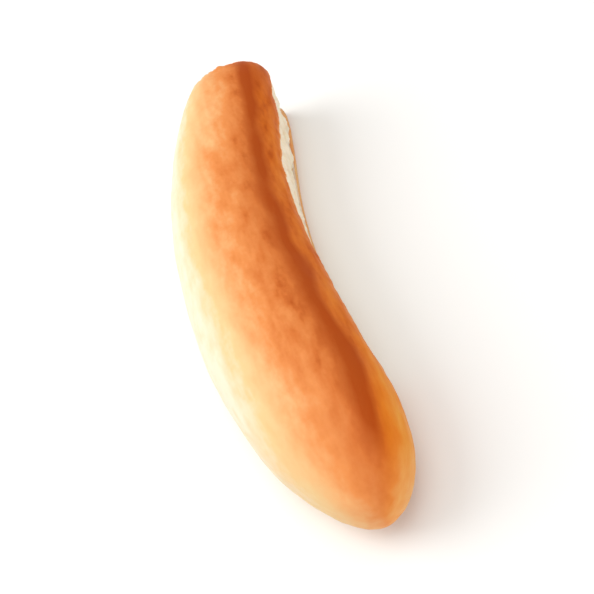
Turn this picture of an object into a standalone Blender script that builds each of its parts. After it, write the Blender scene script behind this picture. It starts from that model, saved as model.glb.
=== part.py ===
"""A soft hot dog bun pulled from a batch that was baked side by side, whole and uncut.

One solid, in metres, +Z up. The bun lies on its flat base with its long axis along X.
The +X end and the -Y side were free in the oven and are crusted down to the base. The
+Y side and the -X end touched other buns, so their lower walls are flat torn crumb.
The origin is the centre of the bounding box's bottom face.
"""

import math

import bmesh
import bpy
from mathutils import Vector, noise

MM = 0.001

# Overall size of the risen bun, before the touching walls flatten it
LENGTH = 162.0 * MM
WIDTH = 43.8 * MM
HEIGHT = 38.0 * MM

# Sideways bend of the centre line towards the touching side, and widening towards the free end
BOW = 17.0 * MM
FLARE = 0.185

# Cross-section: a low dome over a belly that is cut off flat by the baking sheet. The belly
# tucks in on the free side and drops straight down on the touching side
BELLY_HEIGHT = 0.37 * HEIGHT
BELLY_OVERREACH = 1.28
DOME_POWER = 2.4
FREE_BELLY_POWER = 3.0
TOUCHING_BELLY_POWER = 6.0
BASE_EDGE = 1.2 * MM

# Each end narrows as a superellipse: (power along, power across, how fast the height drops)
FREE_END = (2.70, 2.10, 0.75)
JOINED_END = (4.80, 2.55, 0.45)
SIDE_SPAN = 0.80

# The free end's nose leans back towards the free side. Its touching side tucks in by a share
# of the width between two fractions of the half length, and its belly is round
NOSE_LEAN = 5.3 * MM
NOSE_TUCK = 0.11
TUCK_SPAN = (0.1, 1.0)
NOSE_BELLY_POWER = 2.4

# Walls that touched other buns. The side wall's inset fades out where the end narrows to a point
SIDE_INSET = 1.5 * MM
INSET_GIRTH = 0.25
SIDE_EDGE = 1.2 * MM
SIDE_RELEASE = (0.45, 1.0)
RELEASE_REACH = 7.0 * MM
END_INSET = 5.9 * MM
END_EDGE = 3.2 * MM
END_TURN = math.radians(-8.0)

# The corner between these two walls is squarer than a free one: the power that its loss of
# width has, and the fractions of the half length between which it stops turning with the bend
CORNER_POWER = 2.6
CORNER_SPAN = (0.65, 1.0)

# Uneven rise of the crust and tearing of the crumb: (height, wavelength)
CRUST_WAVES = ((0.55 * MM, 26.0 * MM), (0.22 * MM, 9.0 * MM))
CRUMB_WAVES = ((0.45 * MM, 5.0 * MM),)
CRUMB_DEPTH = 0.6 * MM

# Mesh cells along, across and up
CELLS = (58, 16, 14)

CRUST_COLOUR = (0.68, 0.30, 0.085, 1.0)
CRUST_ROUGHNESS = 0.45


def clear_scene():
    """Start from an empty scene."""
    for leftover in list(bpy.data.objects):
        bpy.data.objects.remove(leftover, do_unlink=True)


def smooth_step(low, high, value):
    """0 below low, 1 above high, with a smooth rise between them."""
    t = min(1.0, max(0.0, (value - low) / (high - low)))
    return t * t * (3.0 - 2.0 * t)


def soft_min(value, limit, radius):
    """The smaller of value and limit, with the corner between them rounded."""
    over = value - limit
    if over >= radius:
        return limit
    if over <= -radius:
        return value
    return value - (over + radius) ** 2 / (4.0 * radius)


def signed_power(value, power):
    """A power of the size of value that keeps its sign."""
    return math.copysign(abs(value) ** power, value)


def section_angle(across, up):
    """Angle round the cross-section for a point of the square that the cells start as."""
    if abs(up) >= abs(across):
        turn = math.pi / 4.0 * across / max(abs(up), 1e-9)
        return math.pi / 2.0 - turn if up > 0.0 else turn - math.pi / 2.0
    turn = math.pi / 4.0 * up / abs(across)
    return turn if across > 0.0 else math.pi - turn


def station(along, ring, end):
    """Fraction of the half length, and of the full girth, for a point of the cells."""
    power_along, power_across, _ = end
    edge_girth = (1.0 - SIDE_SPAN**power_along) ** (1.0 / power_across)
    if ring < 1.0 - 1e-6:
        girth = ring * edge_girth
        return (1.0 - girth**power_across) ** (1.0 / power_along), girth
    reach = abs(along) * SIDE_SPAN
    return reach, (1.0 - reach**power_along) ** (1.0 / power_across)


def half_width(reach, girth, touching):
    """Distance from the centre line to the widest point of one side, at a fraction of the girth."""
    tuck = NOSE_TUCK * smooth_step(*TUCK_SPAN, reach) if touching else 0.0
    if touching and reach < 0.0:
        girth = 1.0 - (1.0 - girth) ** CORNER_POWER
    return WIDTH / 2.0 * (1.0 + FLARE * reach - tuck) * girth


def section_point(angle, reach, girth, end):
    """Offset across the centre line, and height, of a point of the cross-section."""
    if math.sin(angle) > 0.0:
        power = DOME_POWER
    else:
        power = TOUCHING_BELLY_POWER if math.cos(angle) > 0.0 else FREE_BELLY_POWER
        power += (NOSE_BELLY_POWER - power) * smooth_step(*SIDE_RELEASE, reach)
    across = signed_power(math.cos(angle), 2.0 / power)
    up = signed_power(math.sin(angle), 2.0 / power) * girth ** end[2]
    rise = HEIGHT - BELLY_HEIGHT if up > 0.0 else BELLY_HEIGHT * BELLY_OVERREACH
    y = half_width(reach, girth, across > 0.0) * across
    z = BELLY_HEIGHT + rise * up
    return y, -soft_min(-z, 0.0, BASE_EDGE)


def nose_lean(reach, girth):
    """How far the free end's narrowing sections shift towards the free side."""
    return NOSE_LEAN * (1.0 - girth) ** 2 if reach > 0.0 else 0.0


def side_wall(reach, girth):
    """How far from the centre line the neighbouring bun lets this one rise."""
    inset = SIDE_INSET * smooth_step(0.0, INSET_GIRTH, girth)
    release = RELEASE_REACH * smooth_step(*SIDE_RELEASE, reach)
    return half_width(reach, girth, True) - inset + release


def bend(reach, y):
    """Carry a point at a fraction of the half length onto the bent centre line."""
    half = LENGTH / 2.0
    slope = 2.0 * BOW * reach / half
    stretch = math.hypot(1.0, slope)
    turn = 1.0 - smooth_step(*CORNER_SPAN, -reach) if y > 0.0 else 1.0
    return reach * half - y * turn * slope / stretch, BOW * reach**2 + y / stretch


def end_wall(y):
    """Where along X the bun behind stops this one."""
    return -LENGTH / 2.0 + END_INSET + y * math.tan(END_TURN)


def waves(point, levels):
    """Sum of soft bumps and dips of the given heights and wavelengths."""
    return sum(height * noise.noise(point / length) for height, length in levels)


def bun_point(cell):
    """Place a point of the two-unit cube's skin on the bun, and say how torn it is there."""
    along, across, up = cell
    end = FREE_END if along > 0.0 else JOINED_END
    distance, girth = station(along, max(abs(across), abs(up)), end)
    reach = math.copysign(distance, along)
    y, z = section_point(section_angle(across, up), reach, girth, end)
    y -= nose_lean(reach, girth)

    wall = side_wall(reach, girth)
    side_torn = smooth_step(-SIDE_EDGE, SIDE_EDGE, y - wall)
    x, y = bend(reach, soft_min(y, wall, SIDE_EDGE))

    wall = end_wall(y)
    end_torn = smooth_step(-END_EDGE, END_EDGE, wall - x)
    x = -soft_min(-x, -wall, END_EDGE)
    return Vector((x, y, z)), max(side_torn, end_torn)


def cell_block():
    """A two-unit cube cut into cells."""
    mesh = bmesh.new()
    bmesh.ops.create_cube(mesh, size=2.0)
    for axis, count in enumerate(CELLS):
        edges = []
        for edge in mesh.edges:
            span = edge.verts[1].co - edge.verts[0].co
            if abs(span[axis]) > 1e-6 and abs(span.length - abs(span[axis])) < 1e-6:
                edges.append(edge)
        bmesh.ops.subdivide_edges(mesh, edges=edges, cuts=count - 1, use_grid_fill=True)
    return mesh


def raise_relief(mesh, torn):
    """Give the crust its uneven rise and the torn walls their rough crumb; the base stays flat."""
    mesh.normal_update()
    shifts = []
    for vert in mesh.verts:
        crust = waves(vert.co, CRUST_WAVES)
        crumb = waves(vert.co, CRUMB_WAVES) - CRUMB_DEPTH
        height = crust + (crumb - crust) * torn[vert.index]
        clear_of_base = smooth_step(0.0, 4.0 * BASE_EDGE, vert.co.z)
        shifts.append(vert.normal * height * clear_of_base)
    for vert, shift in zip(mesh.verts, shifts):
        vert.co += shift
        vert.co.z = max(vert.co.z, 0.0)


def centre_on_base(mesh):
    """Put the origin at the centre of the bounding box's bottom face."""
    low = [min(vert.co[axis] for vert in mesh.verts) for axis in range(3)]
    high = [max(vert.co[axis] for vert in mesh.verts) for axis in range(3)]
    centre = Vector(((low[0] + high[0]) / 2.0, (low[1] + high[1]) / 2.0, low[2]))
    bmesh.ops.translate(mesh, verts=mesh.verts, vec=-centre)


def crust_material():
    """Golden-brown egg-washed crust."""
    material = bpy.data.materials.new("Baked crust")
    material.use_nodes = True
    shader = material.node_tree.nodes["Principled BSDF"]
    shader.inputs["Base Color"].default_value = CRUST_COLOUR
    shader.inputs["Roughness"].default_value = CRUST_ROUGHNESS
    shader.inputs["Metallic"].default_value = 0.0
    return material


def make_bun():
    """The bun as one closed solid."""
    mesh = cell_block()
    torn = []
    mesh.verts.index_update()
    for vert in mesh.verts:
        vert.co, amount = bun_point(vert.co)
        torn.append(amount)
    bmesh.ops.recalc_face_normals(mesh, faces=mesh.faces)
    raise_relief(mesh, torn)
    centre_on_base(mesh)
    bmesh.ops.triangulate(mesh, faces=mesh.faces)

    data = bpy.data.meshes.new("bun")
    mesh.to_mesh(data)
    mesh.free()
    data.shade_smooth()
    data.materials.append(crust_material())
    bun = bpy.data.objects.new("bun", data)
    bpy.context.scene.collection.objects.link(bun)
    return bun


clear_scene()
make_bun()
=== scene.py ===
"""Soft hot dog bun with one torn side and one torn end, finished for rendering.

Two meshes stand for the solid and keep its form: the baked crust, and the torn crumb of the
touching side and the joined end. The long axis is X, the free crusted end is +X, the free
side is -Y, the touching side is +Y and the joined end is -X. Lengths are in metres and come
from the named values below.
"""

import math
from collections import namedtuple

import bmesh
import bpy
from bpy.props import FloatProperty, FloatVectorProperty, PointerProperty
from bpy.types import Operator, Panel, PropertyGroup
from mathutils import Matrix, Vector, noise


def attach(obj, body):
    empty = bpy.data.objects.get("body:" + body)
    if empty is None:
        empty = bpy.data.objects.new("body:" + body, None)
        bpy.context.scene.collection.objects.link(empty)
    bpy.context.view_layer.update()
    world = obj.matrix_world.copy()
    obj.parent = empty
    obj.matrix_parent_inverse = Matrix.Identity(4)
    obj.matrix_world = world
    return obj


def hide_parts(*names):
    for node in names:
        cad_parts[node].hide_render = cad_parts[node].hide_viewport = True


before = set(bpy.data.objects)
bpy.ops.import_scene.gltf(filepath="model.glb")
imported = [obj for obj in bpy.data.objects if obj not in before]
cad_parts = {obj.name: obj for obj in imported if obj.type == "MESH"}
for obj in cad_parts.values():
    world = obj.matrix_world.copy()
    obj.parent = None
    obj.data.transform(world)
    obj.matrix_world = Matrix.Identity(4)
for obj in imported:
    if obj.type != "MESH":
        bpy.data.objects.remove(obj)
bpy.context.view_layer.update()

bl_info = {
    "name": "Hot Dog Bun",
    "version": (1, 0, 0),
    "blender": (4, 5, 0),
    "location": "View3D > Sidebar > Bun",
    "description": "Makes a soft hot dog bun with torn sides, and a plain studio round it",
    "category": "Object",
}

MM = 0.001

# Form of the loaf, as in the solid: its size before the touching walls flatten it, the bend of
# its centre line towards the touching side, and how it widens towards the free end
LENGTH = 162.0 * MM
WIDTH = 43.8 * MM
HEIGHT = 38.0 * MM
BOW = 17.0 * MM
FLARE = 0.185

# Cross-section: a low dome over a belly that the baking sheet cuts off flat. The belly tucks
# in on the free side and drops straight down on the touching side
BELLY_SHARE = 0.37
BELLY_OVERREACH = 1.28
DOME_POWER = 2.4
FREE_BELLY_POWER = 3.0
TOUCHING_BELLY_POWER = 6.0
BASE_EDGE = 1.2 * MM

# Each end narrows as a superellipse: (power along, power across, how fast the height drops)
FREE_END = (2.70, 2.10, 0.75)
JOINED_END = (4.80, 2.55, 0.45)
SIDE_SPAN = 0.80

# The free end's nose leans back towards the free side. Its touching side tucks in by a share
# of the width between two fractions of the half length, and its belly is round
NOSE_LEAN = 5.3 * MM
NOSE_TUCK = 0.11
TUCK_SPAN = (0.1, 1.0)
NOSE_BELLY_POWER = 2.4

# Torn walls. The side wall's inset fades out where the end narrows to a point
SIDE_INSET = 1.5 * MM
INSET_GIRTH = 0.25
SIDE_EDGE = 1.2 * MM
SIDE_RELEASE = (0.45, 1.0)
RELEASE_REACH = 7.0 * MM
END_INSET = 5.9 * MM
END_EDGE = 3.2 * MM
END_TURN = math.radians(-8.0)

# The corner between these two walls is squarer than a free one: the power that its loss of
# width has, and the fractions of the half length between which it stops turning with the bend
CORNER_POWER = 2.6
CORNER_SPAN = (0.65, 1.0)

# Relief of the crust: uneven rise and fine peel of (height, wavelength), round blisters of
# (height, spacing, radius), the share of them that rises, their sizes in radii, how far up
# the skin faces where they show, and the height above the base at which relief is full
CRUST_WAVES = ((0.55 * MM, 26.0 * MM), (0.22 * MM, 9.0 * MM))
CRUST_PEEL = ((0.060 * MM, 3.4 * MM), (0.025 * MM, 1.5 * MM))
BLISTER = (0.50 * MM, 13.0 * MM, 1.9 * MM)
BLISTER_SHARE = 0.25
BLISTER_SIZES = (0.6, 1.2)
BLISTER_FACING = (0.2, 0.7)
CLEAR_OF_BASE = 4.0 * BASE_EDGE

# Wrinkles of (height, width, length up and down): least all over, full beside the tear and
# at the foot
WRINKLE = (0.16 * MM, 2.6 * MM, 11.0 * MM)
WRINKLE_LEAST = 0.2
WRINKLE_BESIDE_TEAR = (-7.0 * MM, -0.5 * MM)
WRINKLE_FOOT = (4.0 * MM, 15.0 * MM)

# Edge of the tear: how much longer the skin is than the distance past each wall, how far it
# hangs down the side wall, its wander, how much of that is left near the base, and the strip
# of crust that stays on the base
SIDE_SLANT = 4.0
END_SLANT = 1.5
OVERHANG = 2.0 * MM
TEAR_WANDER = ((2.6 * MM, 16.0 * MM), (1.6 * MM, 6.0 * MM), (0.9 * MM, 2.2 * MM))
WANDER_LEAST = 0.3
WANDER_RISE = (2.0 * MM, 8.0 * MM)
BASE_RIM = 1.8 * MM

# The crust's lip at the tear, and how deep crust and crumb dive where the other one shows.
# The spans are distances past the edge of the tear
LIP = 0.20 * MM
LIP_SPAN = (-1.6 * MM, -0.2 * MM)
DIVE = 2.6 * MM
CRUST_DIVE = (-0.1 * MM, 0.5 * MM)
CRUMB_RISE = (-0.7 * MM, 0.1 * MM)

# Browning runs from 0, pale, to 1, brownest, and also carries painted light and shade. It
# deepens between two leans, from the free wall to the far shoulder: partly real browning, and
# partly the free wall painted as lit and the far side painted as shaded. In front it reaches
# further down the free flank, but on the nose that flank stays pale. The free end's nose and
# the joined end's heel begin and are full at two fractions of the half length
CROWN_SHADE = 0.92
CROWN_SPAN = (-0.95, 0.80)
FRONT_REACH = 0.34
FRONT_SPAN = (0.3, 1.0)
NOSE_SPAN = (0.6, 1.0)
NOSE_FLANK = (-1.0, 0.0)
HEEL_SPAN = (0.6, 0.9)

# The crown is paler in a saddle beside the joined end
SADDLE_LEAN = 0.12
SADDLE_WIDTH = 0.30
SADDLE_PALING = 0.17
SADDLE_START = (0.35, 0.60)
SADDLE_STOP = (0.7, 1.0)

# The dark band along the shoulder, partly deeper browning and partly painted shade where the
# shoulder turns from the light, in half widths: the powers of the girth that it narrows with
# at the joined end and at the nose, how far it climbs towards the crown on the nose, its
# wander, and where it fades at the tip. Width and shade are (plain, more at nose, more at heel)
SHOULDER_LEAN = 0.66
SHOULDER_TAPER = (1.1, 1.4)
SHOULDER_CLIMB = 0.19
SHOULDER_WANDER = (0.07, 12.0 * MM)
SHOULDER_STOP = (0.76, 0.98)
SHOULDER_WIDTH = (0.12, 0.14, 0.04)
SHOULDER_SHADE = (0.10, 0.03, 0.09)

# Past the band, towards the crease, the crust is lighter with painted bounce light, least at
# the heel and most in front. It starts at a distance that grows in front, and ends at (plain,
# more in front, more at nose)
CREASE_PALING = 0.17
CREASE_HEEL_LOSS = 0.6
CREASE_FRONT_PALING = 0.32
CREASE_FRONT_SPAN = (0.3, 0.7)
CREASE_SHIFT_SPAN = (0.3, 0.6)
CREASE_START = 0.03
CREASE_STOP = (0.17, 0.09, 0.18)

# Low down the crust is paler, in shares of the height: the underside of the nose, and the
# foot, which loses most of the brown above a light shade
UNDER_NOSE_PALING = 0.30
UNDER_NOSE_SPAN = (0.35, 0.80)
FOOT_PALING = 0.6
FOOT_SHADE = 0.3
FOOT_SPAN = (0.10, 0.47)

# The base and the edge of the tear are lighter than what the hot air reached, and the cut
# through the crust is straw-coloured
BASE_SHADE = 0.36
BASE_SPAN = (0.5 * MM, 3.5 * MM)
EDGE_PALING = 0.5
EDGE_SPAN = (-1.8 * MM, 0.0)
CUT_SHADE = 0.34
CUT_SPAN = (-0.3 * MM, 0.2 * MM)

# Mottling of the browning: clouds of (strength, wavelength), streaks of (strength, wavelength
# along, wavelength across) and blisters. It is least on pale crust, grows to full on the
# crown, and fades on the dark shoulder and towards the nose
MOTTLE_CLOUDS = (0.06, 26.0 * MM)
MOTTLE_STREAKS = (0.08, 15.0 * MM, 6.0 * MM)
MOTTLE_BLISTERS = 0.25
MOTTLE_LEAST = 0.3
MOTTLE_GROWTH = (0.20, 0.50)
MOTTLE_SHOULDER_LOSS = 0.8
MOTTLE_SHOULDER_SPAN = (0.75, 0.92)
MOTTLE_NOSE_LOSS = 0.5
MOTTLE_NOSE_SPAN = (0.4, 0.9)

# Painted warm bounce light beside the crease, as an amber tint, from a distance past the band;
# less on the tip and the base
BOUNCE_SPAN = (-0.06, 0.22)
BOUNCE_TIP_LOSS = 0.5
BOUNCE_TIP_SPAN = (0.85, 1.0)
BOUNCE_BASE_SHARE = 0.3
BOUNCE_BASE_SPAN = (6.0 * MM, 19.0 * MM)

# Torn crumb: tufts of (height, wavelength), shreds of (height, width, length up and down),
# and open cells of (depth, size) with walls that round off, which the pull has warped by
# (reach, wavelength) and made taller than they are wide; and where its hidden back lies
CRUMB_DEPTH = 0.5 * MM
CRUMB_TUFTS = ((0.55 * MM, 15.0 * MM), (0.45 * MM, 5.5 * MM), (0.35 * MM, 2.4 * MM))
CRUMB_SHREDS = (0.45 * MM, 1.5 * MM, 7.0 * MM)
CRUMB_PORES = ((1.10 * MM, 3.6 * MM), (0.70 * MM, 2.0 * MM), (0.35 * MM, 1.1 * MM))
PORE_ROUNDING = 1.6
PORE_WARP = (1.3 * MM, 3.0 * MM)
PORE_STRETCH = 1.4
CRUMB_BACKING = Vector((3.0 * MM, -3.0 * MM, 0.0))

# Offsets in the noise that are far enough apart to be unlike each other, and the scale that
# puts neighbouring places in different cells of it
DRIFT_OFFSETS = (
    Vector((17.3, 5.1, 31.7)),
    Vector((41.9, 23.3, 7.7)),
    Vector((11.2, 37.4, 19.6)),
)
CHANCE_SPREAD = 7.3

# Mesh cells along, across and up, and the slack when lengths on the two-unit cube are compared
CRUST_CELLS = (276, 84, 68)
CRUMB_CELLS = (340, 100, 92)
OUTLINE_CELLS = (58, 16, 14)
SLACK = 1e-6

# Studio: a square floor, and soft lights of (name, direction, power in watts) that all have
# one size and stand at one distance
FLOOR_SIZE = 3.0
LIGHT_SIZE = 0.60
LIGHT_DISTANCE = 0.9
LIGHTS = (
    ("Window", (-0.25, -0.75, 0.85), 4.4),
    ("Low window", (-0.1, -1.0, 0.45), 1.2),
    ("Overhead", (0.0, 0.0, 1.0), 2.4),
    ("Front", (0.95, 0.3, 0.45), 0.5),
    ("Low fill", (0.75, 0.6, 0.2), 1.8),
)
WORLD_COLOUR = (1.0, 1.0, 1.0, 1.0)
WORLD_STRENGTH = 0.55
SENSOR_WIDTH = 36.0
CLIP_START = 0.01

# A point of the bun, how far along the skin it lies past the tear's edge (negative on
# crust), its lean from the free side (-1) to the touching side (1), its reach from the
# joined end (-1) to the free one (1), and the girth of its section, 1 at mid-length
Spot = namedtuple("Spot", "point past lean reach girth")


def linear(code):
    """Linear RGB for an sRGB hex colour."""
    channels = [int(code[i : i + 2], 16) / 255.0 for i in (1, 3, 5)]
    return tuple(c / 12.92 if c <= 0.04045 else ((c + 0.055) / 1.055) ** 2.4 for c in channels)


def smooth_step(low, high, value):
    """0 below low, 1 above high, with a smooth rise between them."""
    t = min(1.0, max(0.0, (value - low) / (high - low)))
    return t * t * (3.0 - 2.0 * t)


def soft_min(value, limit, radius):
    """The smaller of value and limit, with the corner between them rounded."""
    over = value - limit
    if over >= radius:
        return limit
    if over <= -radius:
        return value
    return value - (over + radius) ** 2 / (4.0 * radius)


def signed_power(value, power):
    """A power of the size of value that keeps its sign."""
    return math.copysign(abs(value) ** power, value)


def waves(point, levels):
    """Sum of soft bumps and dips of the given heights and wavelengths."""
    return sum(height * noise.noise(point / length) for height, length in levels)


def streaked(point, width, length_x=None, length_z=None):
    """Noise drawn out along X or up and down, at a width and a length in metres."""
    along = length_x or width
    up = length_z or width
    return noise.noise(Vector((point.x / along, point.y / width, point.z / up)))


def gained(values, first, second):
    """A plain value plus two gains, each by its share."""
    plain, first_gain, second_gain = values
    return plain + first_gain * first + second_gain * second


def chance(place):
    """A number from 0 to 1 that belongs to a place."""
    return 0.5 + 0.5 * noise.cell(place * CHANCE_SPREAD)


def drift(place):
    """A soft, steady vector that belongs to a place, up to about 1 each way."""
    return Vector([noise.noise(place + offset) for offset in DRIFT_OFFSETS])


def blister(point):
    """0 to 1 over the round blisters that rise at a share of evenly scattered places."""
    _, spacing, radius = BLISTER
    smallest, largest = BLISTER_SIZES
    distances, places = noise.voronoi(point / spacing)
    pick = chance(places[0])
    if pick > BLISTER_SHARE:
        return 0.0
    size = smallest + (largest - smallest) * pick / BLISTER_SHARE
    reach = distances[0] * spacing / (radius * size)
    return (1.0 - reach * reach) ** 2 if reach < 1.0 else 0.0


def section_angle(across, up):
    """Angle round the cross-section for a point of the square that the cells start as."""
    if abs(up) >= abs(across):
        turn = math.pi / 4.0 * across / max(abs(up), 1e-9)
        return math.pi / 2.0 - turn if up > 0.0 else turn - math.pi / 2.0
    turn = math.pi / 4.0 * up / abs(across)
    return turn if across > 0.0 else math.pi - turn


def station(along, ring, end):
    """Fraction of the half length, and of the full girth, for a point of the cells."""
    power_along, power_across, _ = end
    edge_girth = (1.0 - SIDE_SPAN**power_along) ** (1.0 / power_across)
    if ring < 1.0 - SLACK:
        girth = ring * edge_girth
        return (1.0 - girth**power_across) ** (1.0 / power_along), girth
    reach = abs(along) * SIDE_SPAN
    return reach, (1.0 - reach**power_along) ** (1.0 / power_across)


def nose_lean(reach, girth):
    """How far the free end's narrowing sections shift towards the free side."""
    return NOSE_LEAN * (1.0 - girth) ** 2 if reach > 0.0 else 0.0


class Loaf:
    """The bun's form: places a point of a two-unit cube's skin on it."""

    def __init__(self, sizes):
        self.length = sizes.length
        self.width = sizes.width
        self.height = sizes.height
        self.bow = sizes.bow
        self.belly = BELLY_SHARE * sizes.height

    def half_width(self, reach, girth, touching):
        """Distance from the centre line to the widest point of one side."""
        tuck = NOSE_TUCK * smooth_step(*TUCK_SPAN, reach) if touching else 0.0
        if touching and reach < 0.0:
            girth = 1.0 - (1.0 - girth) ** CORNER_POWER
        return self.width / 2.0 * (1.0 + FLARE * reach - tuck) * girth

    def section_point(self, angle, reach, girth, end):
        """Offset across the centre line, and height, of a point of the cross-section."""
        if math.sin(angle) > 0.0:
            power = DOME_POWER
        else:
            power = TOUCHING_BELLY_POWER if math.cos(angle) > 0.0 else FREE_BELLY_POWER
            power += (NOSE_BELLY_POWER - power) * smooth_step(*SIDE_RELEASE, reach)
        across = signed_power(math.cos(angle), 2.0 / power)
        up = signed_power(math.sin(angle), 2.0 / power) * girth ** end[2]
        rise = self.height - self.belly if up > 0.0 else self.belly * BELLY_OVERREACH
        y = self.half_width(reach, girth, across > 0.0) * across
        z = self.belly + rise * up
        return y, -soft_min(-z, 0.0, BASE_EDGE)

    def side_wall(self, reach, girth):
        """How far from the centre line the torn side wall lies."""
        inset = SIDE_INSET * smooth_step(0.0, INSET_GIRTH, girth)
        release = RELEASE_REACH * smooth_step(*SIDE_RELEASE, reach)
        return self.half_width(reach, girth, True) - inset + release

    def bend(self, reach, y):
        """Carry a point at a fraction of the half length onto the bent centre line."""
        half = self.length / 2.0
        slope = 2.0 * self.bow * reach / half
        stretch = math.hypot(1.0, slope)
        turn = 1.0 - smooth_step(*CORNER_SPAN, -reach) if y > 0.0 else 1.0
        return reach * half - y * turn * slope / stretch, self.bow * reach**2 + y / stretch

    def end_wall(self, y):
        """Where along X the torn end wall lies."""
        return -self.length / 2.0 + END_INSET + y * math.tan(END_TURN)

    def spot(self, cell):
        """The spot of the bun for a point of the cube's skin."""
        along, across, up = cell
        end = FREE_END if along > 0.0 else JOINED_END
        distance, girth = station(along, max(abs(across), abs(up)), end)
        reach = math.copysign(distance, along)
        y, z = self.section_point(section_angle(across, up), reach, girth, end)

        lean = y / self.half_width(reach, 1.0, y > 0.0)
        y -= nose_lean(reach, girth)
        wall = self.side_wall(reach, girth)
        past_side = (y - wall) * SIDE_SLANT - OVERHANG
        x, y = self.bend(reach, soft_min(y, wall, SIDE_EDGE))

        wall = self.end_wall(y)
        past_end = (wall - x) * END_SLANT
        x = -soft_min(-x, -wall, END_EDGE)

        point = Vector((x, y, z))
        wander = WANDER_LEAST + (1.0 - WANDER_LEAST) * smooth_step(*WANDER_RISE, z)
        past = min(max(past_side, past_end), z - BASE_RIM) + wander * waves(point, TEAR_WANDER)
        return Spot(point, past, lean, reach, girth)

    def shape(self, mesh):
        """Place a cube's cut-up skin on the bun, and give each vertex's spot."""
        mesh.verts.index_update()
        spots = [self.spot(vert.co) for vert in mesh.verts]
        for vert, spot in zip(mesh.verts, spots):
            vert.co = spot.point
        mesh.normal_update()
        return spots

    def base_centre(self):
        """Middle of the base of the plain form, which becomes the origin."""
        mesh = cell_block(OUTLINE_CELLS)
        points = [spot.point for spot in self.shape(mesh)]
        mesh.free()
        box = [(min(values), max(values)) for values in zip(*points)]
        (left, right), (front, back), (bottom, _) = box
        return Vector(((left + right) / 2.0, (front + back) / 2.0, bottom))


def on_torn_wall(middle):
    """Whether the two-unit cube's face with this middle becomes the torn side or end."""
    return middle.y > 0.5 or middle.x < -0.5


def cell_block(cells, keep=None):
    """A two-unit cube cut into cells along, across and up; keep picks its faces."""
    mesh = bmesh.new()
    bmesh.ops.create_cube(mesh, size=2.0)
    if keep is not None:
        spare = [face for face in mesh.faces if not keep(face.calc_center_median())]
        bmesh.ops.delete(mesh, geom=spare, context="FACES")
    for axis, count in enumerate(cells):
        edges = []
        for edge in mesh.edges:
            span = edge.verts[1].co - edge.verts[0].co
            if abs(span[axis]) > SLACK and abs(span.length - abs(span[axis])) < SLACK:
                edges.append(edge)
        bmesh.ops.subdivide_edges(mesh, edges=edges, cuts=count - 1, use_grid_fill=True)
    return mesh


def crust_height(spot, up):
    """Relief of the crust: uneven rise, peel, blisters, and wrinkles at the foot and the tear."""
    point = spot.point
    height, width, length = WRINKLE
    beside_tear = smooth_step(*WRINKLE_BESIDE_TEAR, spot.past)
    foot = 1.0 - smooth_step(*WRINKLE_FOOT, point.z)
    wrinkle = height * streaked(point, width, length_z=length)
    relief = waves(point, CRUST_WAVES) + waves(point, CRUST_PEEL)
    relief += wrinkle * (WRINKLE_LEAST + max(beside_tear, foot))
    relief += BLISTER[0] * blister(point) * smooth_step(*BLISTER_FACING, up)
    relief += LIP * smooth_step(*LIP_SPAN, spot.past)
    torn = smooth_step(*CRUST_DIVE, spot.past)
    return relief * (1.0 - torn) - DIVE * torn


def pores(point):
    """How deep torn crumb is open at a point: round cells, most of them shallow."""
    warp, length = PORE_WARP
    pulled = point + warp * drift(point / length)
    pulled.z /= PORE_STRETCH
    depth = 0.0
    for full, size in CRUMB_PORES:
        distances, places = noise.voronoi(pulled / size)
        hollow = max(0.0, 1.0 - PORE_ROUNDING * distances[0] ** 2)
        depth += full * hollow * chance(places[0]) ** 2
    return depth


def crumb_height(point, pore):
    """Relief of the torn crumb: tufts and shreds, less the depth of its open cells."""
    height, width, length = CRUMB_SHREDS
    shreds = height * streaked(point, width, length_z=length)
    return waves(point, CRUMB_TUFTS) + shreds - CRUMB_DEPTH - pore


def past_band(spot):
    """How far a spot lies past the dark band, towards the crease, in half widths."""
    climb = SHOULDER_CLIMB * smooth_step(*NOSE_SPAN, spot.reach)
    taper = SHOULDER_TAPER[1] if spot.reach > 0.0 else SHOULDER_TAPER[0]
    wander = waves(spot.point, (SHOULDER_WANDER,))
    return spot.lean - (SHOULDER_LEAN * spot.girth**taper - climb) + wander


def crown_shade(spot, nose):
    """Broad browning with painted light: least on the lit free wall, most on the far shoulder,
    which is partly painted shade, with the pale saddle.
    """
    flank = 1.0 - smooth_step(*NOSE_FLANK, spot.lean)
    turned = smooth_step(*FRONT_SPAN, spot.reach) * (1.0 - nose * flank)
    shade = CROWN_SHADE * smooth_step(*CROWN_SPAN, spot.lean + FRONT_REACH * turned)
    saddle = math.exp(-(((spot.lean - SADDLE_LEAN) / SADDLE_WIDTH) ** 2))
    saddle *= smooth_step(*SADDLE_START, -spot.reach)
    return shade - SADDLE_PALING * saddle * (1.0 - smooth_step(*SADDLE_STOP, -spot.reach))


def shoulder_shade(spot, nose, heel):
    """What the dark band of browning and painted shade adds, less the painted light past it."""
    past = past_band(spot)
    band = math.exp(-((past / gained(SHOULDER_WIDTH, nose, heel)) ** 2))
    band *= 1.0 - smooth_step(*SHOULDER_STOP, spot.reach)
    front = smooth_step(*CREASE_SHIFT_SPAN, spot.reach)
    # Painted bounce light on the crust past the band
    lighter = CREASE_PALING * (1.0 - CREASE_HEEL_LOSS * heel)
    lighter += CREASE_FRONT_PALING * smooth_step(*CREASE_FRONT_SPAN, spot.reach)
    lighter *= smooth_step(CREASE_START * front, gained(CREASE_STOP, front, nose), past)
    return gained(SHOULDER_SHADE, nose, heel) * band - lighter


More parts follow.
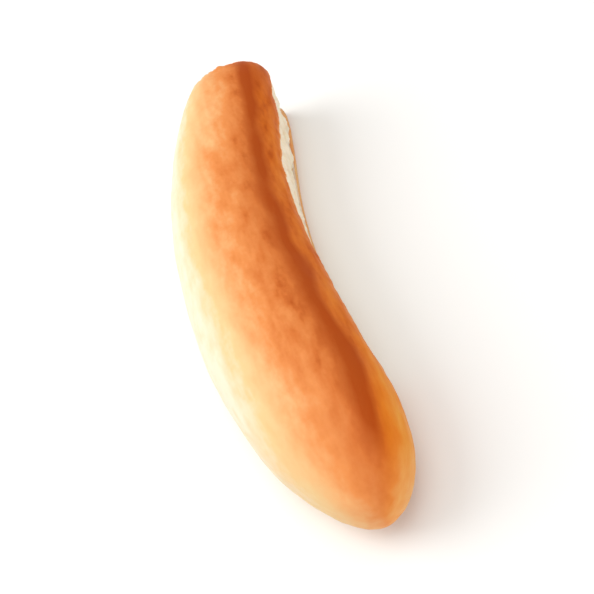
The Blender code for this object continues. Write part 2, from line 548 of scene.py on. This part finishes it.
def browning_and_shading(spot, height):
    """How brown the oven made the crust, together with painted light and shade."""
    nose = smooth_step(*NOSE_SPAN, spot.reach)
    heel = smooth_step(*HEEL_SPAN, -spot.reach)
    shade = crown_shade(spot, nose) + shoulder_shade(spot, nose, heel)

    level = spot.point.z / height
    shade *= 1.0 - UNDER_NOSE_PALING * nose * (1.0 - smooth_step(*UNDER_NOSE_SPAN, level))
    foot = 1.0 - smooth_step(*FOOT_SPAN, level)
    shade -= FOOT_PALING * max(0.0, shade - FOOT_SHADE) * foot
    shade += (BASE_SHADE - shade) * (1.0 - smooth_step(*BASE_SPAN, spot.point.z))
    shade *= 1.0 - EDGE_PALING * smooth_step(*EDGE_SPAN, spot.past)
    return shade + (CUT_SHADE - shade) * smooth_step(*CUT_SPAN, spot.past)


def unevenness(spot, shade):
    """How mottled crust of this shade is at a spot."""
    growth = MOTTLE_LEAST + (1.0 - MOTTLE_LEAST) * smooth_step(*MOTTLE_GROWTH, shade)
    growth -= MOTTLE_SHOULDER_LOSS * smooth_step(*MOTTLE_SHOULDER_SPAN, shade)
    return growth * (1.0 - MOTTLE_NOSE_LOSS * smooth_step(*MOTTLE_NOSE_SPAN, spot.reach))


def mottle(point):
    """Broad unevenness of the browning: soft clouds, streaks along the bun and blisters."""
    strength, length, width = MOTTLE_STREAKS
    streaks = strength * streaked(point, width, length_x=length)
    return waves(point, (MOTTLE_CLOUDS,)) + streaks + MOTTLE_BLISTERS * blister(point)


def painted_bounce_amount(spot):
    """How much painted warm bounce light tints the crust amber: all beside the crease, and not on
    the crown or the tear.
    """
    painted_bounce = smooth_step(*BOUNCE_SPAN, past_band(spot))
    painted_bounce *= 1.0 - smooth_step(*LIP_SPAN, spot.past)
    painted_bounce *= 1.0 - BOUNCE_TIP_LOSS * smooth_step(*BOUNCE_TIP_SPAN, spot.reach)
    above_base = smooth_step(*BOUNCE_BASE_SPAN, spot.point.z)
    return painted_bounce * (BOUNCE_BASE_SHARE + (1.0 - BOUNCE_BASE_SHARE) * above_base)


def link(name, data):
    """An object for a finished mesh, light or camera, in the scene."""
    thing = bpy.data.objects.new(name, data)
    bpy.context.scene.collection.objects.link(thing)
    return thing


def put_in_order(parts, place):
    """Order a mesh's vertices or faces by where they are and nothing else."""
    for index, part in enumerate(sorted(parts, key=lambda part: place(part)[:])):
        part.index = index
    parts.sort()


def finish_piece(name, mesh, material):
    """Turn a modelled mesh into a smooth piece that stands for the solid."""
    data = bpy.data.meshes.new(name)
    mesh.to_mesh(data)
    mesh.free()
    data.shade_smooth()
    data.materials.append(material)
    piece = link(name, data)
    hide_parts("bun")
    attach(piece, "root")


def add_node(tree, kind, settings=None, inputs=None, links=None):
    """Add a node with its settings, input values and links from other nodes' outputs."""
    node = tree.nodes.new(kind)
    for key, value in (settings or {}).items():
        setattr(node, key, value)
    for key, value in (inputs or {}).items():
        node.inputs[key].default_value = value
    for key, output in (links or {}).items():
        tree.links.new(output, node.inputs[key])
    return node


def set_ramp(node, stops):
    """Give a colour ramp its (position, linear colour) stops."""
    ramp = node.color_ramp
    while len(ramp.elements) > 1:
        ramp.elements.remove(ramp.elements[-1])
    for index, (position, colour) in enumerate(stops):
        element = ramp.elements[0] if index == 0 else ramp.elements.new(position)
        element.position = position
        element.color = (*colour, 1.0)


def new_material(name):
    """A node material, and its tree emptied of nodes."""
    material = bpy.data.materials.new(name)
    material.use_nodes = True
    tree = material.node_tree
    tree.nodes.clear()
    return material, tree


def per_mm(size):
    """Texture scale on metre coordinates for features of a size in millimetres."""
    return 1.0 / (size * MM)


def baked_crust(finish):
    """Egg-washed milk-bread crust: thin, satin, brown on the crown and cream low down."""
    material, tree = new_material("Egg-washed bread crust")
    place = add_node(tree, "ShaderNodeTexCoord").outputs["Object"]
    # The browning attribute holds real browning together with painted light and shade
    brown = add_node(tree, "ShaderNodeAttribute", {"attribute_name": "browning_and_shading"}).outputs["Fac"]

    # Uneven browning: soft patches of 3 mm, drawn out along the bun, and freckles of 1.3 mm
    along = add_node(
        tree,
        "ShaderNodeMapping",
        inputs={"Scale": (0.45, 1.0, 1.0)},
        links={"Vector": place},
    )
    patch = add_node(
        tree,
        "ShaderNodeTexNoise",
        inputs={"Scale": per_mm(3.0), "Detail": 2.0, "Roughness": 0.45},
        links={"Vector": along.outputs["Vector"]},
    )
    freckle = add_node(
        tree,
        "ShaderNodeTexNoise",
        inputs={"Scale": per_mm(1.3), "Detail": 2.0, "Roughness": 0.5},
        links={"Vector": place},
    )
    patch_shift = add_node(
        tree,
        "ShaderNodeMapRange",
        inputs={"From Min": 0.25, "From Max": 0.75, "To Min": -0.15, "To Max": 0.15},
        links={"Value": patch.outputs["Fac"]},
    )
    freckle_shift = add_node(
        tree,
        "ShaderNodeMapRange",
        inputs={"From Min": 0.3, "From Max": 0.7, "To Min": -0.03, "To Max": 0.03},
        links={"Value": freckle.outputs["Fac"]},
    )
    shift = add_node(
        tree,
        "ShaderNodeMath",
        {"operation": "ADD"},
        links={0: patch_shift.outputs[0], 1: freckle_shift.outputs[0]},
    )
    uneven = add_node(tree, "ShaderNodeAttribute", {"attribute_name": "uneven"}).outputs["Fac"]
    shade = add_node(
        tree,
        "ShaderNodeMath",
        {"operation": "MULTIPLY_ADD", "use_clamp": True},
        links={0: shift.outputs[0], 1: uneven, 2: brown},
    )
    # Ramp from pale to brownest crust; its brown end also carries the painted shade of the
    # shoulder band
    colour = add_node(tree, "ShaderNodeValToRGB", links={"Fac": shade.outputs[0]})
    set_ramp(
        colour,
        (
            (0.00, finish.crust_pale),
            (0.15, finish.crust_straw),
            (0.34, finish.crust_light),
            (0.53, finish.crust_golden),
            (0.80, finish.crust_deep),
            (0.98, finish.crust_brown_and_shade),
        ),
    )
    # Beside the crease, painted warm bounce light: an amber tint multiplied into the crust colour
    painted_bounce = add_node(tree, "ShaderNodeAttribute", {"attribute_name": "painted_bounce"}).outputs["Fac"]
    tinted = add_node(
        tree,
        "ShaderNodeMix",
        {"data_type": "RGBA", "blend_type": "MULTIPLY"},
        inputs={7: (*finish.bounce_tint, 1.0)},
        links={0: painted_bounce, 6: colour.outputs["Color"]},
    )

    # The egg wash dries a little unevenly
    gloss = add_node(
        tree,
        "ShaderNodeMapRange",
        inputs={"From Min": 0.3, "From Max": 0.7, "To Min": 0.36, "To Max": 0.52},
        links={"Value": patch.outputs["Fac"]},
    )
    # Crust pores of 0.7 mm, drawn about twice as coarse as real ones so that they show
    pits = add_node(
        tree,
        "ShaderNodeTexNoise",
        inputs={"Scale": per_mm(0.7), "Detail": 2.0, "Roughness": 0.5},
        links={"Vector": place},
    )
    bump = add_node(
        tree,
        "ShaderNodeBump",
        inputs={"Strength": 0.4, "Distance": 0.06 * MM},
        links={"Height": pits.outputs["Fac"]},
    )
    shader = add_node(
        tree,
        "ShaderNodeBsdfPrincipled",
        inputs={
            "IOR": 1.45,
            "Specular IOR Level": 0.04,
            "Subsurface Weight": finish.scatter,
            "Subsurface Radius": (1.0, 0.45, 0.2),
            "Subsurface Scale": 2.5 * MM,
            "Coat Weight": finish.wash,
            "Coat Roughness": 0.28,
        },
        links={
            "Base Color": tinted.outputs[2],
            "Roughness": gloss.outputs[0],
            "Normal": bump.outputs["Normal"],
        },
    )
    add_node(tree, "ShaderNodeOutputMaterial", links={"Surface": shader.outputs["BSDF"]})
    return material


def torn_crumb(finish):
    """Soft white crumb, pulled apart: matt, cream, open-pored and slightly fibrous."""
    material, tree = new_material("Torn white crumb")
    place = add_node(tree, "ShaderNodeTexCoord").outputs["Object"]
    pore = add_node(tree, "ShaderNodeAttribute", {"attribute_name": "pore"}).outputs["Fac"]

    # Fibres of 0.6 mm that run up and down, and painted shade that deepens inside the pores
    strands = add_node(
        tree,
        "ShaderNodeMapping",
        inputs={"Scale": (1.0, 1.0, 0.4)},
        links={"Vector": place},
    )
    fibre = add_node(
        tree,
        "ShaderNodeTexNoise",
        inputs={"Scale": per_mm(0.6), "Detail": 3.0, "Roughness": 0.6},
        links={"Vector": strands.outputs["Vector"]},
    )
    hollow = add_node(
        tree,
        "ShaderNodeMapRange",
        inputs={"From Min": 0.0, "From Max": 1.2 * MM, "To Min": 0.0, "To Max": 0.8},
        links={"Value": pore},
    )
    grain = add_node(
        tree,
        "ShaderNodeMapRange",
        inputs={"From Min": 0.3, "From Max": 0.7, "To Min": -0.1, "To Max": 0.25},
        links={"Value": fibre.outputs["Fac"]},
    )
    shade = add_node(
        tree,
        "ShaderNodeMath",
        {"operation": "ADD", "use_clamp": True},
        links={0: hollow.outputs[0], 1: grain.outputs[0]},
    )
    colour = add_node(tree, "ShaderNodeValToRGB", links={"Fac": shade.outputs[0]})
    set_ramp(colour, ((0.0, finish.crumb), (1.0, finish.painted_pore_shade)))
    bump = add_node(
        tree,
        "ShaderNodeBump",
        inputs={"Strength": 0.6, "Distance": 0.15 * MM},
        links={"Height": fibre.outputs["Fac"]},
    )
    shader = add_node(
        tree,
        "ShaderNodeBsdfPrincipled",
        inputs={
            "Roughness": 0.9,
            "IOR": 1.4,
            "Specular IOR Level": 0.25,
            "Subsurface Weight": 0.5,
            "Subsurface Radius": (1.0, 0.75, 0.5),
            "Subsurface Scale": 2.0 * MM,
        },
        links={"Base Color": colour.outputs["Color"], "Normal": bump.outputs["Normal"]},
    )
    add_node(tree, "ShaderNodeOutputMaterial", links={"Surface": shader.outputs["BSDF"]})
    return material


def studio_paper(colour):
    """Matt seamless background paper."""
    material, tree = new_material("Seamless studio paper")
    shader = add_node(
        tree,
        "ShaderNodeBsdfPrincipled",
        inputs={"Base Color": (*colour, 1.0), "Roughness": 0.95, "Specular IOR Level": 0.2},
    )
    add_node(tree, "ShaderNodeOutputMaterial", links={"Surface": shader.outputs["BSDF"]})
    return material


def area_light(name, direction, power):
    """A soft square white light that shines on the middle of the bun."""
    data = bpy.data.lights.new(name, "AREA")
    data.shape = "SQUARE"
    data.size = LIGHT_SIZE
    data.energy = power
    light = link(name, data)
    towards = Vector(direction).normalized()
    light.location = towards * LIGHT_DISTANCE
    light.rotation_euler = towards.to_track_quat("Z", "Y").to_euler()


def round_aim(azimuth, elevation):
    """Unit vector from the aim to the camera; azimuth 0 looks along +Y and 90 along -X."""
    level = math.cos(elevation)
    return Vector((math.sin(azimuth) * level, -math.cos(azimuth) * level, math.sin(elevation)))


class BunSizes(PropertyGroup):
    """Sizes of the loaf."""

    length: FloatProperty(
        name="Length",
        description="Length before the joined end is flattened",
        default=LENGTH,
        unit="LENGTH",
    )
    width: FloatProperty(
        name="Width",
        description="Width at mid-length",
        default=WIDTH,
        unit="LENGTH",
    )
    height: FloatProperty(
        name="Height",
        description="Height of the crown",
        default=HEIGHT,
        unit="LENGTH",
    )
    bow: FloatProperty(
        name="Bow",
        description="Sideways bend of the centre line",
        default=BOW,
        unit="LENGTH",
    )


class BunFinish(PropertyGroup):
    """Colours and gloss of the bun."""

    crust_pale: FloatVectorProperty(
        name="Pale crust",
        description="Crust low on the free side",
        default=linear("#E8DAC0"),
        subtype="COLOR",
        min=0.0,
        max=1.0,
    )
    crust_straw: FloatVectorProperty(
        name="Straw crust",
        description="Crust high on the free side",
        default=linear("#E3C08A"),
        subtype="COLOR",
        min=0.0,
        max=1.0,
    )
    crust_light: FloatVectorProperty(
        name="Light crust",
        description="Crust beside the crown",
        default=linear("#E4A56C"),
        subtype="COLOR",
        min=0.0,
        max=1.0,
    )
    crust_golden: FloatVectorProperty(
        name="Golden crust",
        description="Crust on the crown",
        default=linear("#E08C4E"),
        subtype="COLOR",
        min=0.0,
        max=1.0,
    )
    crust_deep: FloatVectorProperty(
        name="Deep crust",
        description="Crust past the crown",
        default=linear("#D07337"),
        subtype="COLOR",
        min=0.0,
        max=1.0,
    )
    # This end of the ramp also stands for painted shade on the shoulder band
    crust_brown_and_shade: FloatVectorProperty(
        name="Brown crust",
        description="Brownest crust, on the shoulder",
        default=linear("#B04D18"),
        subtype="COLOR",
        min=0.0,
        max=1.0,
    )
    # Amber tint of the painted warm bounce light beside the crease
    bounce_tint: FloatVectorProperty(
        name="Amber crust",
        description="Tint of the moist crust beside the crease",
        default=linear("#FFE57A"),
        subtype="COLOR",
        min=0.0,
        max=1.0,
    )
    crumb: FloatVectorProperty(
        name="Crumb",
        description="Torn crumb",
        default=linear("#F8E9D2"),
        subtype="COLOR",
        min=0.0,
        max=1.0,
    )
    # Painted shade inside the crumb's pores
    painted_pore_shade: FloatVectorProperty(
        name="Crumb pores",
        description="Crumb inside its pores",
        default=linear("#E8CDA4"),
        subtype="COLOR",
        min=0.0,
        max=1.0,
    )
    wash: FloatProperty(
        name="Egg wash",
        description="Strength of the egg wash's shine",
        default=0.025,
        subtype="FACTOR",
    )
    scatter: FloatProperty(
        name="Scatter",
        description="Light that passes under the crust",
        default=0.12,
        subtype="FACTOR",
    )


class StudioSettings(PropertyGroup):
    """Floor, lights and camera."""

    paper: FloatVectorProperty(
        name="Paper",
        description="Colour of the floor",
        default=linear("#F2F1EE"),
        subtype="COLOR",
        min=0.0,
        max=1.0,
    )
    azimuth: FloatProperty(
        name="Azimuth",
        description="Camera's turn round the bun",
        default=math.radians(94.84),
        subtype="ANGLE",
    )
    elevation: FloatProperty(
        name="Elevation",
        description="Camera's height angle",
        default=math.radians(54.62),
        subtype="ANGLE",
    )
    roll: FloatProperty(
        name="Roll",
        description="Camera's lean",
        default=math.radians(27.0),
        subtype="ANGLE",
    )
    distance: FloatProperty(
        name="Distance",
        description="From the aim to the camera",
        default=315.0 * MM,
        unit="LENGTH",
    )
    aim: FloatVectorProperty(
        name="Aim",
        description="Point that the camera looks at",
        default=(4.39 * MM, 6.7 * MM, 13.5 * MM),
        subtype="XYZ",
        unit="LENGTH",
    )
    lens: FloatProperty(
        name="Lens",
        description="Focal length in millimetres",
        default=64.2,
    )


class BUN_OT_crust(Operator):
    """Shape the loaf and bake its crust."""

    bl_idname = "bun.crust"
    bl_label = "Bake the Crust"

    def execute(self, context):
        loaf = Loaf(context.scene.bun_sizes)
        mesh = cell_block(CRUST_CELLS)
        spots = loaf.shape(mesh)
        # The browning layer holds real browning together with painted light and shade
        brown = mesh.verts.layers.float.new("browning_and_shading")
        uneven = mesh.verts.layers.float.new("uneven")
        # How much painted warm bounce light tints each vertex amber
        painted_bounce = mesh.verts.layers.float.new("painted_bounce")
        for vert, spot in zip(mesh.verts, spots):
            clear_of_base = smooth_step(0.0, CLEAR_OF_BASE, spot.point.z)
            shade = browning_and_shading(spot, loaf.height)
            vert[uneven] = unevenness(spot, shade)
            vert[brown] = min(1.0, max(0.0, shade + vert[uneven] * mottle(spot.point)))
            vert[painted_bounce] = painted_bounce_amount(spot)
            vert.co += vert.normal * crust_height(spot, vert.normal.z) * clear_of_base
            vert.co.z = max(vert.co.z, 0.0)
        bmesh.ops.translate(mesh, verts=mesh.verts, vec=-loaf.base_centre())
        finish_piece("baked_crust", mesh, baked_crust(context.scene.bun_finish))
        return {"FINISHED"}


class BUN_OT_crumb(Operator):
    """Shape the torn crumb of the side and end walls."""

    bl_idname = "bun.crumb"
    bl_label = "Tear the Crumb"

    def execute(self, context):
        loaf = Loaf(context.scene.bun_sizes)
        mesh = cell_block(CRUMB_CELLS, on_torn_wall)
        spots = loaf.shape(mesh)
        pore = mesh.verts.layers.float.new("pore")
        for vert, spot in zip(mesh.verts, spots):
            vert[pore] = pores(spot.point)
            relief = crumb_height(spot.point, vert[pore])
            torn = smooth_step(*CRUMB_RISE, spot.past)
            vert.co += vert.normal * (relief * torn - DIVE * (1.0 - torn))
            vert.co.z = max(vert.co.z, 0.0)
        back = bmesh.ops.extrude_face_region(mesh, geom=mesh.faces[:], use_keep_orig=True)["geom"]
        back = [element for element in back if isinstance(element, bmesh.types.BMVert)]
        bmesh.ops.translate(mesh, verts=back, vec=CRUMB_BACKING)
        bmesh.ops.recalc_face_normals(mesh, faces=mesh.faces)
        # The extrusion puts its new parts in a different order each run
        put_in_order(mesh.verts, lambda vert: vert.co)
        put_in_order(mesh.faces, lambda face: face.calc_center_median())
        bmesh.ops.translate(mesh, verts=mesh.verts, vec=-loaf.base_centre())
        finish_piece("torn_crumb", mesh, torn_crumb(context.scene.bun_finish))
        return {"FINISHED"}


class BUN_OT_stage(Operator):
    """Lay the floor, and place the lights and the camera."""

    bl_idname = "bun.stage"
    bl_label = "Set Up the Studio"

    def execute(self, context):
        studio = context.scene.bun_studio
        mesh = bmesh.new()
        bmesh.ops.create_grid(mesh, x_segments=1, y_segments=1, size=FLOOR_SIZE)
        data = bpy.data.meshes.new("studio_floor")
        mesh.to_mesh(data)
        mesh.free()
        data.materials.append(studio_paper(studio.paper))
        link("studio_floor", data)

        for name, direction, power in LIGHTS:
            area_light(name, direction, power)

        world = bpy.data.worlds.new("Studio")
        world.use_nodes = True
        background = world.node_tree.nodes["Background"]
        background.inputs["Color"].default_value = WORLD_COLOUR
        background.inputs["Strength"].default_value = WORLD_STRENGTH
        context.scene.world = world
        context.scene.view_settings.view_transform = "Standard"

        camera_data = bpy.data.cameras.new("Camera")
        camera_data.lens = studio.lens
        camera_data.sensor_width = SENSOR_WIDTH
        camera_data.clip_start = CLIP_START
        camera = link("Camera", camera_data)
        back = round_aim(studio.azimuth, studio.elevation)
        turn = back.to_track_quat("Z", "Y").to_matrix().to_4x4()
        roll = Matrix.Rotation(-studio.roll, 4, "Z")
        place = Vector(studio.aim) + back * studio.distance
        camera.matrix_world = Matrix.Translation(place) @ turn @ roll
        context.scene.camera = camera
        return {"FINISHED"}


class VIEW3D_PT_bun(Panel):
    """Lists the bun's pieces and the studio."""

    bl_label = "Hot Dog Bun"
    bl_space_type = "VIEW_3D"
    bl_region_type = "UI"
    bl_category = "Bun"

    def draw(self, context):
        layout = self.layout
        for group in (context.scene.bun_sizes, context.scene.bun_finish, context.scene.bun_studio):
            box = layout.box()
            for name in group.__annotations__:
                box.prop(group, name)
        for operator in (BUN_OT_crust, BUN_OT_crumb, BUN_OT_stage):
            layout.operator(operator.bl_idname)


CLASSES = (
    BunSizes,
    BunFinish,
    StudioSettings,
    BUN_OT_crust,
    BUN_OT_crumb,
    BUN_OT_stage,
    VIEW3D_PT_bun,
)


def register():
    """Add the classes and their settings to Blender."""
    for cls in CLASSES:
        bpy.utils.register_class(cls)
    bpy.types.Scene.bun_sizes = PointerProperty(type=BunSizes)
    bpy.types.Scene.bun_finish = PointerProperty(type=BunFinish)
    bpy.types.Scene.bun_studio = PointerProperty(type=StudioSettings)


def unregister():
    """Take the classes and their settings out of Blender."""
    del bpy.types.Scene.bun_studio
    del bpy.types.Scene.bun_finish
    del bpy.types.Scene.bun_sizes
    for cls in reversed(CLASSES):
        bpy.utils.unregister_class(cls)


def main():
    """Make the bun and its studio."""
    register()
    bpy.ops.bun.crust()
    bpy.ops.bun.crumb()
    bpy.ops.bun.stage()


if __name__ == "__main__":
    main()
